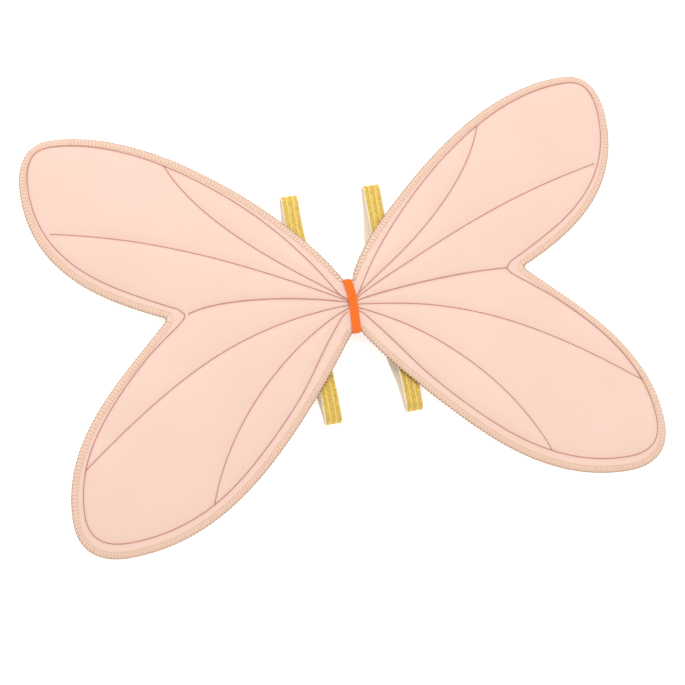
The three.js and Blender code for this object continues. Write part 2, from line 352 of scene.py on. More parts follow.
outlines = {side: sewnOutline(side) for side in (1, -1)}
veins = {side: veinLines(side, outlines[side]) for side in (1, -1)}

quilt = {
    "rise": 1.5 * mm,       # how far the fields stand above the sewn lines, on the front
    "backShare": 0.55,      # the back swells by this much of the front's rise
    "vein": 2.1 * mm,       # half thickness on a vein
    "seam": 1.25 * mm,      # on the sewn outline
    "margin": 1.15 * mm,    # between the outline and the edge
    "edge": 0.55 * mm,
    "seamReach": 9 * mm,    # how far from the outline the level takes to rise from its height to a vein's
    "veinReach": 6 * mm,    # and the wadding from a vein
    "groove": 0.3 * mm,     # the needle's narrow dent along each vein
    "grooveReach": 1.3 * mm,
    "ripple": 0.35 * mm,    # slow waves of the whole panel
    "waist": 2 * mm,        # where the band gathers it
    "pucker": 0.16 * mm,    # small folds that fan out from the band
    "marginCrown": 0.12 * mm,  # how far the margin swells in its middle
    "rimDepth": 0.25 * mm,  # the edge's turning line lies this far in
    "bendFrom": -3 * mm,    # the cloth bends from here to there beside the fold line when a wing folds
    "bendTo": 23 * mm,
}


def nearest(points, line):
    # the distance from each point to the nearest point of a line, in slices to save memory
    flat, size = points.reshape(-1, 2), 20000
    found = np.empty(len(flat))
    for start in range(0, len(flat), size):
        part = flat[start:start + size, None, :] - line[None, :, :]
        found[start:start + size] = np.sqrt((part ** 2).sum(-1).min(1))
    return found.reshape(points.shape[:-1])


def beyondBand(x):
    # how far a point is from the band's sides, along x
    return np.clip(np.abs(x) - band["gatherFrom"], 0, None)


def ripples(x, y):
    # slow uneven waves: a few sines of unlike lengths that die out towards the waist, where small folds
    # along x fade away from the band
    wave = (np.sin(38 * x + 21 * y + 0.6) + 0.7 * np.sin(-27 * x + 44 * y + 1.9)
            + 0.5 * np.sin(71 * x - 33 * y + 4.1))
    folds = np.sin(y * 2 * np.pi / (5.2 * mm) + 0.8) * np.exp(-beyondBand(x) / (9 * mm))
    return quilt["ripple"] * wave * smooth((np.abs(x) - 0.02) / 0.05) + quilt["pucker"] * folds


edgeAbove = edge[:panel["nearWaist"]].T
edgeBelow = (edge[::-1] * (1, -1))[:panel["nearWaist"]].T


def ownEdge(x, y):
    # the height of the panel's edge above or below a point near the waist
    return np.where(y > 0, np.interp(np.abs(x), *edgeAbove), np.interp(np.abs(x), *edgeBelow))


def bunched(flat, half):
    # near the band the cloth is gathered to a rounded bundle, waist * sqrt(1 - (y / edge) ^ 6) thick
    x, y = flat[..., 0], flat[..., 1]
    near = np.exp(-(beyondBand(x) / (8 * mm)) ** 2)
    bundle = quilt["waist"] * np.sqrt(np.clip(1 - np.abs(y / ownEdge(x, y)) ** 6, 0, 1))
    return half * (1 - near) + np.maximum(half * 0.6, bundle) * near


def sewnLevel(flat, side):
    # half thickness as the sewn lines alone would hold it: vein height inside, falling to the outline's
    # by exp(-d / reach), with a narrow groove along each vein. Also returned: how far the lines are
    toSeam = nearest(flat, outlines[side])
    toVein = np.min([nearest(flat, vein) for vein in veins[side]], axis=0)
    q = quilt
    level = q["vein"] - (q["vein"] - q["seam"]) * np.exp(-toSeam / q["seamReach"])
    level = level - q["groove"] * np.exp(-toVein / q["grooveReach"])
    return level, toSeam, toVein


def backOf(half):
    # the back swells less than the front
    return quilt["seam"] + (half - quilt["seam"]) * np.where(half > quilt["seam"], quilt["backShare"], 1)


def pinched(x, y):
    # the cloth gathered by the band: under it the panel's height shrinks to fit inside, and beside it by
    # three quarters of that at first, then less and less over some 15 mm
    inside = np.where(y > 0, band["top"], -band["bottom"]) - band["wall"] - 0.3 * mm
    past = np.clip(np.abs(x - bandMiddle.x) - (bandHigh.x - bandLow.x) / 2, 0, None)
    tight = 0.25 * (1 - smooth(past / (1.5 * mm))) + 0.75 * np.exp(-past / (5.5 * mm))
    return y * (1 - tight * (1 - np.minimum(1, inside / ownEdge(x, y))))


def onPanel(flat, height, side):
    # from the flat plan to where the wing lies: level at the waist, then sloping to the floor. The
    # slope eases in over 12 mm each side of the fold line; height is measured square to the cloth. The
    # two wings don't lie quite evenly: each is moved by its own shift, which grows over 70 mm
    x, y = flat[..., 0], flat[..., 1]
    ease = 12 * mm
    out = x - fold.x
    along = np.where(out > ease, out, np.clip(out + ease, 0, None) ** 2 / (4 * ease))
    slope = droop * np.clip((out + ease) / (2 * ease), 0, 1)
    lifted = height + ripples(side * x, y)
    px = x - along * (1 - math.cos(droop)) + lifted * np.sin(slope)
    pz = fold.z - along * math.sin(droop) + lifted * np.cos(slope)
    grown = smooth(x / (70 * mm))
    shiftX, shiftY = panel["lay"][side]
    roomX = side * (px + shiftX * grown) + panel["waistShift"] * (1 - grown)
    return np.stack([roomX, pinched(side * x, y) + shiftY * grown, np.maximum(pz, 0)], -1)


# materials

def satinMaterial():
    # polyester peach satin over wadding: matt pink, a faint weave, a soft sheen, and a slow cloudy tone
    # some 70 mm across
    material, tree = newMaterial("peachSatin", Roughness=0.62, Sheen_Weight=0.25, Sheen_Roughness=0.5,
                                 Sheen_Tint=linear("#ffe9dc"), Specular_IOR_Level=0.3)
    place = onPiece(tree)
    cloud = addNode(tree, "ShaderNodeTexNoise", Vector=place, Scale=14.0, Detail=3.0)
    tone = ramp(tree, cloud.outputs["Fac"], [(0.3, linear("#e9c6b6")), (0.7, linear("#ebc9ba"))])
    # threads 0.5 mm apart, drawn a little coarser than the real cloth so that they show
    warp = addNode(tree, "ShaderNodeTexWave", {"bands_direction": "X"}, Vector=place, Scale=640.0,
                   Distortion=0.6, Detail=1.0)
    weft = addNode(tree, "ShaderNodeTexWave", {"bands_direction": "Y"}, Vector=place, Scale=640.0,
                   Distortion=0.6, Detail=1.0)
    cross = addNode(tree, "ShaderNodeMath", {"operation": "MAXIMUM"}, i0=warp.outputs["Fac"],
                    i1=weft.outputs["Fac"])
    return finished(material, tone, 0.12, 0.2 * mm, cross.outputs[0])


def threadMaterial(name, dark, light, twist, **shaderValues):
    # spun polyester thread: its plies wind round it, so light and dark run as slanting stripes, 0.35 to
    # 0.45 mm apart: the bump raises the light ones, and the dark ones are painted shade in the grooves
    #                between the plies
    material, tree = newMaterial(name, **shaderValues)
    place = alongPiece(tree)
    turn = addNode(tree, "ShaderNodeMapping", Vector=place, Rotation=(0, 0, 0.6))
    plies = addNode(tree, "ShaderNodeTexWave", Vector=turn.outputs["Vector"], Scale=twist, Distortion=1.0)
    # the dark stripes are painted shade in the grooves between the plies
    tone = ramp(tree, plies.outputs["Fac"], [(0.15, linear(dark)), (0.85, linear(light))])
    return finished(material, tone, 0.5, 0.1 * mm, plies.outputs["Fac"])


def feltMaterial():
    # wool-mix felt strip: saturated orange, matt, mottled by short fibres of about a millimetre
    material, tree = newMaterial("orangeFelt", Roughness=0.95, Sheen_Weight=0.4, Sheen_Roughness=0.6,
                                 Sheen_Tint=linear("#ffb27a"), Specular_IOR_Level=0.2)
    place = onPiece(tree)
    fibre = addNode(tree, "ShaderNodeTexNoise", Vector=place, Scale=900.0, Detail=4.0, Distortion=1.5)
    tone = ramp(tree, fibre.outputs["Fac"], [(0.3, linear("#e2600f")), (0.7, linear("#f5792f"))])
    return finished(material, tone, 0.6, 0.3 * mm, fibre.outputs["Fac"])


def glitterMaterial():
    # lurex elastic: gold metallised yarn whose grains, 0.4 mm across, differ in tone at random, the
    # palest few being painted glints where a grain catches the light; woven in three ribs 5 mm wide with
    # a paler cream groove between them
    material, tree = newMaterial("goldLurex", Roughness=0.5, Metallic=0.35)
    place = alongPiece(tree)
    grain = addNode(tree, "ShaderNodeTexVoronoi", Vector=place, Scale=2600.0)
    grainGlint = addNode(tree, "ShaderNodeSeparateColor", Color=grain.outputs["Color"])
    # the pale top of the ramp is painted glints on single grains; the rest is the grains' own tone
    gold = ramp(tree, grainGlint.outputs[0], [(0.0, linear("#b8922c")), (0.8, linear("#dcb640")),
                                         (0.97, linear("#ffe898"))])
    across = addNode(tree, "ShaderNodeSeparateXYZ", Vector=place)
    turns = addNode(tree, "ShaderNodeMath", {"operation": "MULTIPLY"}, i0=across.outputs["Y"],
                    i1=2 * math.pi / (5 * mm))
    rib = addNode(tree, "ShaderNodeMath", {"operation": "COSINE"}, i0=turns.outputs[0])
    groove = addNode(tree, "ShaderNodeMapRange", i0=rib.outputs[0], i1=-1.0, i2=-0.6, i3=1.0, i4=0.0)
    tone = addNode(tree, "ShaderNodeMix", {"data_type": "RGBA"}, i0=groove.outputs[0], i6=gold)
    tone.inputs[7].default_value = linear("#e6cc84")
    return finished(material, tone.outputs[2], 0.5, 0.2 * mm, grainGlint.outputs[1])


def elasticBackMaterial():
    # the plain side of the elastic: cream yarn, matt, with fine ribs across it every millimetre, bumped,
    # and darkened between them by painted shade
    material, tree = newMaterial("creamElastic", Roughness=0.85, Specular_IOR_Level=0.3)
    place = alongPiece(tree)
    ribs = addNode(tree, "ShaderNodeTexWave", Vector=place, Scale=320.0, Distortion=0.4)
    # the darker end of the ramp is painted shade in the grooves between the ribs
    tone = ramp(tree, ribs.outputs["Fac"], [(0.1, linear("#e2d5c0")), (0.9, linear("#f6ecdc"))])
    return finished(material, tone, 0.4, 0.3 * mm, ribs.outputs["Fac"])


materials = {
    "satin": satinMaterial(),
    "rose": threadMaterial("roseThread", "#ae6a5e", "#d8998c", 900.0, Roughness=0.5),
    "cream": threadMaterial("creamThread", "#cfa87d", "#f2dbba", 700.0, Roughness=0.55),
    # dark tan for the rim knots: painted shade in the gaps between the edge stitches
    "tan": threadMaterial("rimShadeThread", "#6e5238", "#9c7a56", 700.0, Roughness=0.7),
    "felt": feltMaterial(),
    "gold": glitterMaterial(),
    "elasticBack": elasticBackMaterial(),
}
print("materials made")


# the quilted panel, one half for each wing; the halves meet under the centre band

def closedFaces(rays, columns):
    # faces of a closed cushion. Rows are rays from the waist to the rim; a row runs from the middle out
    # over the front, round the rim and back under the back. The two last points are the middle's front
    # and back, and the first and last rays are joined across the cut. They point outwards where x > 0
    frontPole, backPole = rays * columns, rays * columns + 1
    quads = [gridFaces(rays, columns)]
    row = np.arange(rays - 1)
    fans = [np.stack([row * columns, (row + 1) * columns, np.full_like(row, frontPole)], 1),
            np.stack([(row + 2) * columns - 1, (row + 1) * columns - 1, np.full_like(row, backPole)], 1)]
    half = columns // 2
    step = np.arange(half - 1)
    for first, order in ((0, 1), ((rays - 1) * columns, -1)):
        a, b = first + step, first + columns - 1 - step
        quads.append(np.stack([a, a + 1, b - 1, b], 1)[:, ::order])
        tip = [first + half - 1, first + half, first + half + 1]
        pole = [[first, frontPole, backPole], [first, backPole, first + columns - 1]]
        fans.append(np.array([tip, *pole])[:, ::order])
    return np.concatenate(quads)[:, ::-1], np.concatenate(fans)[:, ::-1]


cloth = {
    "rays": 220,          # the coarse copy's mesh lines
    "rings": 44,
    "start": 0.03,        # where its rings begin, as a share of the way out to the outline
    "rim": 1.002,         # and where its rim is, just beyond
    "thickness": 1 * mm,  # half thickness before it is blown up
    "scale": 20,          # it is simulated this much larger, where the solver is steadier
    "pressure": 4.0,
    "tension": 12,
    "shear": 6,
    "bending": 0.4,
    "mass": 0.3,
    "quality": 5,
    "frames": 20,
    "hold": 2.4 * mm,     # how widely a vein holds the cover
    "waistHold": 14 * mm,  # nearer to the middle than this, nothing moves
    "cap": 12 * mm,       # the most that a point may move
    "even": 0.6,          # lifts are raised to this power, so that narrow fields stand nearly as high
    "soften": 4.5 * mm,   # how far from a line the coarse copy's lift is let down again
}


def simulatedRise(side):
    # a coarse copy of one wing, flat and closed, is held along its sewn lines and blown up by pressure.
    # Returned: the rise of each point of its front and its back, as (lift / highest lift) ^ even, because
    # the wadding fills narrow fields nearly as high as wide ones
    rays, rings, scale, half = cloth["rays"], cloth["rings"], cloth["scale"], cloth["thickness"]
    at = np.linspace(0, panel["rays"] - 1, rays)
    around = readAt(at, np.arange(panel["rays"]), outlines[side])
    flat = around[:, None, :] * np.linspace(cloth["start"], 1, rings)[None, :, None]
    thin = np.full((rays, rings, 1), half)
    rim = np.concatenate([around * cloth["rim"], np.zeros((rays, 1))], 1)[:, None, :]
    front = np.concatenate([flat, thin], 2)
    back = np.concatenate([flat, -thin], 2)[:, ::-1]
    grid = np.concatenate([front, rim, back], 1)
    points = np.concatenate([grid.reshape(-1, 3), [[0, 0, half], [0, 0, -half]]])
    cover = makeMesh("cover", points * scale, *closedFaces(rays, grid.shape[1]))
    toVein = np.min([nearest(flat, vein) for vein in veins[side]], axis=0)
    held = np.exp(-(toVein / cloth["hold"]) ** 2)
    held[:, -1] = 1
    held[flat[..., 0] < cloth["waistHold"]] = 1
    weights = np.concatenate([held, np.ones((rays, 1)), held[:, ::-1]], 1).ravel()
    group = cover.vertex_groups.new(name="held")
    for level in np.linspace(0.1, 1, 10):
        chosen = np.nonzero(np.round(weights, 1) == round(level, 1))[0]
        group.add(chosen.tolist(), float(level), "REPLACE")
    group.add([len(points) - 2, len(points) - 1], 1.0, "REPLACE")
    modifier = cover.modifiers.new("cloth", "CLOTH")
    settings = modifier.settings
    settings.quality = cloth["quality"]
    settings.mass = cloth["mass"]
    settings.tension_stiffness = settings.compression_stiffness = cloth["tension"]
    settings.shear_stiffness = cloth["shear"]
    settings.bending_stiffness = cloth["bending"]
    settings.use_pressure = True
    settings.uniform_pressure_force = cloth["pressure"]
    settings.vertex_group_mass = "held"
    settings.effector_weights.gravity = 0
    modifier.collision_settings.use_self_collision = False
    modifier.point_cache.frame_start = 1
    modifier.point_cache.frame_end = cloth["frames"]
    for frameNumber in range(1, cloth["frames"] + 1):
        bpy.context.scene.frame_set(frameNumber)
    solved = cover.evaluated_get(bpy.context.evaluated_depsgraph_get()).data
    moved = np.empty(len(points) * 3, np.float32)
    solved.vertices.foreach_get("co", moved)
    lift = (moved.reshape(-1, 3) / scale - points)[:-2, 2].reshape(rays, -1)
    bpy.context.scene.frame_set(1)
    bpy.data.objects.remove(cover)
    top = np.clip(lift[:, :rings], 0, cloth["cap"])
    bottom = np.clip(-lift[:, :rings:-1], 0, cloth["cap"])
    print(f"cover {side:+d} lifted {top.max() / mm:.1f} mm in front, {bottom.max() / mm:.1f} mm behind")
    return [(part / np.percentile(part, 99.5)).clip(0, 1) ** cloth["even"] for part in (top, bottom)]


def splineWeights(at, count):
    # rows of cubic B-spline weights that carry values on a coarse line of points to places along it
    i = np.clip(np.floor(at).astype(int), 0, count - 2)
    t = at - i
    parts = [(1 - t) ** 3, 3 * t ** 3 - 6 * t ** 2 + 4, -3 * t ** 3 + 3 * t ** 2 + 3 * t + 1, t ** 3]
    weights = np.zeros((len(at), count))
    for k, part in enumerate(parts):
        np.add.at(weights, (np.arange(len(at)), np.clip(i + k - 1, 0, count - 1)), part / 6)
    return weights


def riseOf(side, share, toSeam, toVein):
    # how high the cover stands above the sewn level, front and back, from 0 on the lines to about 1; what
    # the coarse copy lifts beside a line is let down again by 1 - exp(-(d / soften) ^ 2)
    alongRays = splineWeights(np.linspace(0, cloth["rays"] - 1, panel["rays"]), cloth["rays"])
    ringAt = np.clip((share - cloth["start"]) / (1 - cloth["start"]), 0, 1) * (cloth["rings"] - 1)
    alongRings = splineWeights(ringAt, cloth["rings"])
    down = 1 - np.exp(-(np.minimum(toSeam, toVein) / cloth["soften"]) ** 2)
    return [alongRays @ rise @ alongRings.T * down for rise in simulatedRise(side)]


def quiltedHalf(name, side):
    # along a ray the points run from the middle out to the sewn outline, at shares 1 - (1 - t) ^ crowding
    # of the way, across the margin to the edge, and back the same way below
    rings, margins = panel["rings"], panel["marginRings"]
    outline = outlines[side]
    share = 1 - (1 - np.linspace(0.02, 1, rings)) ** panel["crowding"]
    inner = outline[:, None, :] * share[None, :, None]
    across = np.linspace(0, 1, margins + 1)[1:]
    outer = outline[:, None, :] * (1 - across[None, :, None]) + edge[:, None, :] * across[None, :, None]
    flat = np.concatenate([inner, outer], 1)
    q = quilt
    bulge = q["seam"] + (q["margin"] - q["seam"]) * smooth(across * 2)
    bulge += q["marginCrown"] * np.sin(np.pi * across)
    roll = bulge - (bulge[-1] - q["edge"]) * smooth((across - 0.8) / 0.2)
    margin = np.broadcast_to(roll, (len(edge), margins))
    level, toSeam, toVein = sewnLevel(inner, side)
    frontRise, backRise = riseOf(side, share, toSeam, toVein)
    height = np.concatenate([level + q["rise"] * frontRise, margin], 1)
    backHeight = np.concatenate([backOf(level) + q["rise"] * q["backShare"] * backRise, margin], 1)
    height, backHeight = bunched(flat, height), bunched(flat, backHeight)
    rim = edge - inward * q["rimDepth"]
    front = onPanel(flat, height, side)
    back = onPanel(flat, -backHeight, side)[:, ::-1]
    turn = onPanel(rim, np.zeros(len(edge)), side)[:, None, :]
    grid = np.concatenate([front, turn, back], 1)
    poles = onPanel(np.zeros((2, 2)), np.array([height[0, 0], -backHeight[0, 0]]), side)
    points = np.concatenate([grid.reshape(-1, 3), poles])
    quads, fans = closedFaces(len(edge), grid.shape[1])
    if side < 0:
        quads, fans = quads[:, ::-1], fans[:, ::-1]
    return makeMesh(name, points, quads, fans, look=[materials["satin"]])


def foldingPiece(piece):
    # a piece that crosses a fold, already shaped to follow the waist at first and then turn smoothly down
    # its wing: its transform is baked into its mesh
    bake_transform(piece)


for side, sign in sides.items():
    half = quiltedHalf(side + "QuiltedPanel", sign)
    foldingPiece(half)
    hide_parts(f"{side}_front_fabric", f"{side}_wadding", f"{side}_back_fabric",
                "waist_front_fabric", "waist_wadding", "waist_back_fabric")
print("quilted panels made")


# threads

stitch = {
    "pitch": 2.9 * mm,       # one stitch and the gap to the next
    "length": 2.8 * mm,
    "radius": 0.4 * mm,
    "arch": 0.16 * mm,       # how far a stitch rises in its middle
    "overlockPitch": 3 * mm,
    "overlockDepth": 5 * mm,  # how far the edge stitches reach in
    "overlockRadius": 0.42 * mm,
    "proud": 0.06 * mm,      # how far a vein's stitches stand out of its dent
    "proudThird": 0.34 * mm,  # the third vein runs along the mesh, which bridges the dent
    "needleLength": 2.7 * mm,  # the overlock's needle thread, a row of flat stitches at its depth
    "needleRadius": 0.28 * mm,
    "waistGap": 2.5 * mm,    # the overlock starts and ends this far from the middle of the waist
    "shadeKnotHalf": 0.75 * mm,   # the dark stitches on the rim, painted shade between the edge stitches: half their length
    "shadeKnotHeight": 0.45 * mm,  # and how far above and below the middle they lie
    "shadeKnotOut": 0.15 * mm,    # and beyond the edge
}


def capsules(start, end, up, arch, t, width, uvSize):
    # closed six-sided tubes from each start to its end: the middle line is arched up by a half sine, and
    # the section is a circle whose radius is given at the places t, from 0 to 1; two quads close each end
    aside = unit(np.cross(unit(end - start), up))
    angle = np.arange(6) * math.pi / 3
    rise = up[:, None] * (arch * np.sin(np.pi * t))[:, None]
    centre = start[:, None] + (end - start)[:, None] * t[:, None] + rise
    ring = aside[:, None] * np.cos(angle)[:, None] + up[:, None] * np.sin(angle)[:, None]
    points = centre[:, :, None] + ring[:, None] * width[:, None, None]
    points[..., 2] = np.maximum(points[..., 2], 0)
    uv = np.stack(np.meshgrid(t * uvSize[0], angle * uvSize[1], indexing="ij"), -1)
    last = 6 * (len(t) - 1)
    caps = np.array([[0, 1, 2, 3], [0, 3, 4, 5],
                     [last, last + 3, last + 2, last + 1], [last, last + 5, last + 4, last + 3]])
    faces = np.concatenate([gridFaces(len(t), 6, closeColumns=True), caps])[:, ::-1]
    return copies(points, faces, uv)


def stitches(line, normal, pitch, length, radius, arch):
    # capsules laid end to end along a line of points, narrower at both ends
    steps = lengthsAlong(line)
    count = max(1, int(round(steps[-1] / pitch)))
    middles = (np.arange(count) + 0.5) * steps[-1] / count
    start, end = (readAt(middles + move, steps, line) for move in (-length / 2, length / 2))
    up = unit(readAt(middles, steps, normal))
    t = np.array([0.0, 0.1, 0.3, 0.7, 0.9, 1.0])
    width = np.array([0.4, 0.85, 1.0, 1.0, 0.85, 0.4]) * radius
    return capsules(start, end, up, arch, t, width, (length, radius / 2))


def joined(parts):
    # several (points, quads, uv) sets as one
    offsets = np.cumsum([0] + [len(p[0]) for p in parts])
    return (np.concatenate([p[0] for p in parts]),
            np.concatenate([p[1] + o for p, o in zip(parts, offsets)]),
            np.concatenate([p[2] for p in parts]))


def sewnRow(flat, height, side, pitch=stitch["pitch"], length=stitch["length"], radius=stitch["radius"]):
    # a row of stitches that lies on the cloth at the given half thickness, above it or below it
    up = unit(onPanel(flat, height + mm, side) - onPanel(flat, height, side)) * np.sign(height[:, None])
    height = height + np.sign(height) * 0.5 * radius
    return stitches(onPanel(flat, height, side), up, pitch, length, radius, stitch["arch"])


def threadPiece(name, side, parts, material, slot, *nodes):
    # one piece out of several sets of stitches, already shaped along its wing, with its transform baked
    # into its mesh
    points, quads, uv = joined(parts)
    piece = makeMesh(name, points, quads, uv=uv, look=[materials[material]])
    foldingPiece(piece)
    if nodes:
        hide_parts(*nodes)


def alongEdge(pitch):
    # places a pitch apart along the edge, from under the band and back to it: the point, the direction
    # in and the direction along
    steps, gap = lengthsAlong(edge), stitch["waistGap"]
    at = np.linspace(gap, steps[-1] - gap, int((steps[-1] - 2 * gap) / pitch))
    return readAt(at, steps, edge), unit(readAt(at, steps, inward)), unit(readAt(at, steps, edgeAlong))


def overlockLoops(side):
    # each edge stitch is one thread wrapped round the edge, from its front end over the rim to its back
    # end; its path is given by how far in it lies and its height, and it slants a little along the edge
    depth, r = stitch["overlockDepth"], stitch["overlockRadius"]
    base, into, along = alongEdge(stitch["overlockPitch"])
    top = quilt["margin"] + 0.6 * r
    path = np.array([(depth, top - r), (0.8 * depth, top), (0.4 * depth, top), (0.05 * depth, 0.8 * top),
                     (-0.9 * r, 0), (0.05 * depth, -0.8 * top), (0.4 * depth, -top), (0.8 * depth, -top),
                     (depth, r - top)])
    slant = np.linspace(0.28, -0.28, 9) * stitch["overlockPitch"]
    ahead = unit(np.gradient(path, axis=0))
    angle = np.arange(5) * 2 * math.pi / 5
    width = r * np.array([0.6, 1, 1, 1, 1, 1, 1, 1, 0.6])
    reach = path[:, None, 0] - width[:, None] * np.sin(angle) * ahead[:, None, 1]
    height = path[:, None, 1] + width[:, None] * np.sin(angle) * ahead[:, None, 0]
    sideways = slant[:, None] + width[:, None] * np.cos(angle)
    flat = (base[:, None, None] + into[:, None, None] * reach[None, ..., None]
            + along[:, None, None] * sideways[None, ..., None])
    local = bunched(base + into * depth, quilt["margin"]) / quilt["margin"]
    points = onPanel(flat, height[None] * local[:, None, None], side)
    uv = np.stack(np.meshgrid(lengthsAlong(path), angle / 2 * r, indexing="ij"), -1)
    return copies(points, gridFaces(9, 5, closeColumns=True)[:, ::side], uv)


def rimShadeKnots(side):
    # a pair of short dark stitches on the rim, one above the other, between each two edge stitches: knots
    # whose dark colour is painted shade in the gaps between the edge stitches
    base, into, along = alongEdge(stitch["overlockPitch"])
    middle = (base[1:] + base[:-1]) / 2 - (into[1:] + into[:-1]) / 2 * stitch["shadeKnotOut"]
    reach = along[1:] * stitch["shadeKnotHalf"]
    up = np.tile([0.0, 0.0, 1.0], (len(middle), 1))
    t = np.array([0.0, 0.2, 0.8, 1.0])
    width = np.array([0.3, 1, 1, 0.3]) * stitch["overlockRadius"]
    parts = []
    for height in (stitch["shadeKnotHeight"], -stitch["shadeKnotHeight"]):
        level = np.full(len(middle), height)
        start, end = onPanel(middle - reach, level, side), onPanel(middle + reach, level, side)
        parts.append(capsules(start, end, up, 0, t, width, (2 * stitch["shadeKnotHalf"], 0.2 * mm)))
    return joined(parts)


for side, sign in sides.items():
    outline = outlines[sign]
    seam = bunched(outline, quilt["seam"])
    rows = [sewnRow(outline[1:-1], up[1:-1], sign) for up in (seam, -seam)]
    threadPiece(side + "OutlineStitches", side, rows, "rose", "rose_thread", f"{side}_outline_stitch")
    for i, vein in enumerate(veins[sign]):
        half = sewnLevel(vein, sign)[0] + stitch["proudThird" if i == 2 else "proud"]
        rows = [sewnRow(vein, up, sign) for up in (bunched(vein, half), -bunched(vein, backOf(half)))]
        threadPiece(f"{side}VeinStitches{i + 1}", side, rows, "rose", "rose_thread",
                    f"{side}_vein_stitch_{i + 1}")
    needleLine = inset(stitch["overlockDepth"])[3:-3]
    needleUp = bunched(needleLine, quilt["margin"])
    size = [stitch[k] for k in ("overlockPitch", "needleLength", "needleRadius")]
    needle = [sewnRow(needleLine, up, sign, *size) for up in (needleUp, -needleUp)]
    threadPiece(side + "EdgeOverlock", side, [overlockLoops(sign), *needle], "cream", "edge_thread",
                f"{side}_edge_overlock")
    # dark knots on the rim: painted shade between the edge stitches
    threadPiece(side + "EdgeShadeKnots", side, [rimShadeKnots(sign)], "tan", "edge_thread")
print("threads made")


# the centre band: a felt strip wrapped round the gathered waist

def centreBand():
    # a sleeve: round the waist it follows a flat rounded loop, |y/a|^n + |z/b|^n = 1; its section across
    # is a strip with rounded edges, narrower where it turns over; its middle bulges to one side
    a, b, n = (band["top"] - band["bottom"]) / 2, (bandHigh.z - bandLow.z) / 2, band["squareness"]
    middleY = (band["top"] + band["bottom"]) / 2
    turn = np.linspace(0, 2 * math.pi, 721)
    loop = np.stack([rounded(np.cos(turn), 2 / n) * a, rounded(np.sin(turn), 2 / n) * b], 1)
    loop = evenly(loop, band["around"] + 1)[:-1]
    ahead = unit(np.roll(loop, -1, 0) - np.roll(loop, 1, 0))
    outwards = np.stack([ahead[:, 1], -ahead[:, 0]], 1)
    outwards *= np.sign((outwards * loop).sum(1, keepdims=True))
    section = np.linspace(0, 2 * math.pi, band["across"], endpoint=False)
    end = np.abs(loop[:, 0] / a)
    halfWidth = (bandHigh.x - bandLow.x) / 2 * (1 - band["endNarrowing"] * end ** 14)
    sx = rounded(np.cos(section), 0.35)
    sh = (rounded(np.sin(section), 0.5) - 1) * band["wall"] / 2
    crown = band["crown"] * (1 - sx ** 2) * (sh > -band["wall"] / 2)
    share = loop[:, 0] / a
    bend = band["bulge"] * (np.cos(share * math.pi * 0.75) + 0.35 * np.sin(share * 5) - 0.4)
    x = bandMiddle.x + panel["waistShift"] + bend[:, None] + sx[None] * halfWidth[:, None]
    yz = loop[:, None] + outwards[:, None] * (sh + crown)[None, :, None]
    points = np.stack([x, middleY + yz[..., 0], bandMiddle.z + yz[..., 1]], -1)
    quads = gridFaces(band["around"], len(section), closeRows=True, closeColumns=True)
    return makeMesh("centreBand", points.reshape(-1, 3), quads, look=[materials["felt"]])


strip = centreBand()
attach(strip, "waist")
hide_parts("centre_band")
print("centre band made")


# the elastic arm loops

strap = {
    "sag": -5 * mm,       # the free run lies a little to one side
    "sagOver": 55 * mm,   # and takes this long to get there from each end
    "lean": {"right": (0.8 * mm, 3.8 * mm),  # how far its neck and hip ends have slid along x
             "left": (-2.4 * mm, 2.6 * mm)},
    "leanFrom": 20 * mm,  # that starts this far from its middle
    "leanOver": 60 * mm,  # and grows over this length
    "runPoints": 60,      # points that draw a straight run and a bent end, before the even spacing
    "bendPoints": 24,
    "steps": 320,         # along the loop
    "widthSteps": 30,
    "rib": 0.24 * mm,     # how far its ribs stand up
    "tackPoints": 40,     # corners of each bar tack's zigzag
    "tackStitch": (2.2 * mm, 2.1 * mm, 0.3 * mm, 0.1 * mm),  # its pitch, length, radius and arch
}


